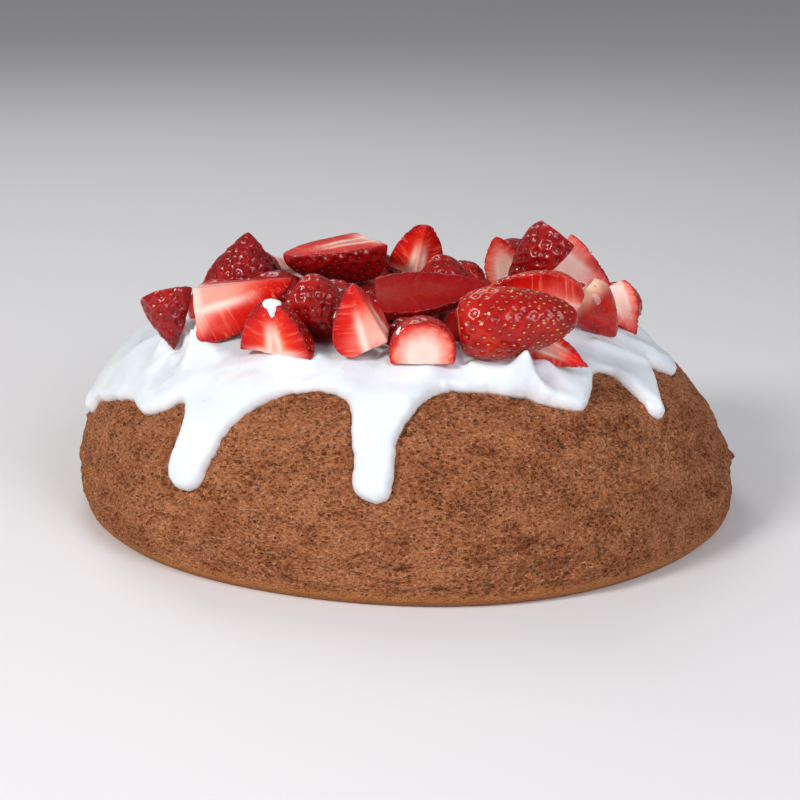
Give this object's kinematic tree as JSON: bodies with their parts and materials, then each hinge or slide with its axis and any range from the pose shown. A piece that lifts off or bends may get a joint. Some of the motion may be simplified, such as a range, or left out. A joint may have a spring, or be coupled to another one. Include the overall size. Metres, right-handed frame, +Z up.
{
  "type": "iced angel food cake",
  "caption": "Ring-shaped chocolate angel food cake with white icing dripping down its sides and cut strawberries heaped on top",
  "frame": {"origin": "centre of the foot of the cake, on the surface it stands on", "axes": "+Z up along the tube pan's axis, -Y towards the front, +X to the right seen from the front"},
  "size_m": [0.254, 0.254, 0.1072],
  "materials": {
    "sponge": "baked chocolate angel food sponge, light brown porous crust, dry and matt",
    "icing": "poured white icing, opaque and glossy",
    "strawberry": "fresh cut strawberry, wet gloss, dark red seeded skin and paler flesh"
  },
  "bodies": {
    "root": {"cake": "sponge", "icing": "icing", "strawberry_front_1": "strawberry", "strawberry_front_2": "strawberry", "strawberry_front_3": "strawberry", "strawberry_front_4": "strawberry", "strawberry_front_5": "strawberry", "strawberry_front_6": "strawberry", "strawberry_front_7": "strawberry", "strawberry_front_8": "strawberry", "strawberry_middle_1": "strawberry", "strawberry_middle_2": "strawberry", "strawberry_middle_3": "strawberry", "strawberry_middle_4": "strawberry", "strawberry_middle_5": "strawberry", "strawberry_middle_6": "strawberry", "strawberry_middle_7": "strawberry", "strawberry_middle_8": "strawberry", "strawberry_middle_9": "strawberry", "strawberry_middle_10": "strawberry", "strawberry_middle_11": "strawberry", "strawberry_middle_12": "strawberry", "strawberry_top_1": "strawberry", "strawberry_top_2": "strawberry", "strawberry_top_3": "strawberry", "strawberry_top_4": "strawberry", "strawberry_top_5": "strawberry", "strawberry_top_6": "strawberry", "strawberry_back_1": "strawberry", "strawberry_back_2": "strawberry", "strawberry_back_3": "strawberry", "strawberry_back_4": "strawberry", "strawberry_back_5": "strawberry", "strawberry_back_6": "strawberry", "strawberry_back_7": "strawberry", "strawberry_back_8": "strawberry", "strawberry_back_9": "strawberry", "strawberry_back_10": "strawberry", "strawberry_core_1": "strawberry", "strawberry_core_2": "strawberry", "strawberry_core_3": "strawberry", "strawberry_core_4": "strawberry"}
  },
  "joints": []
}
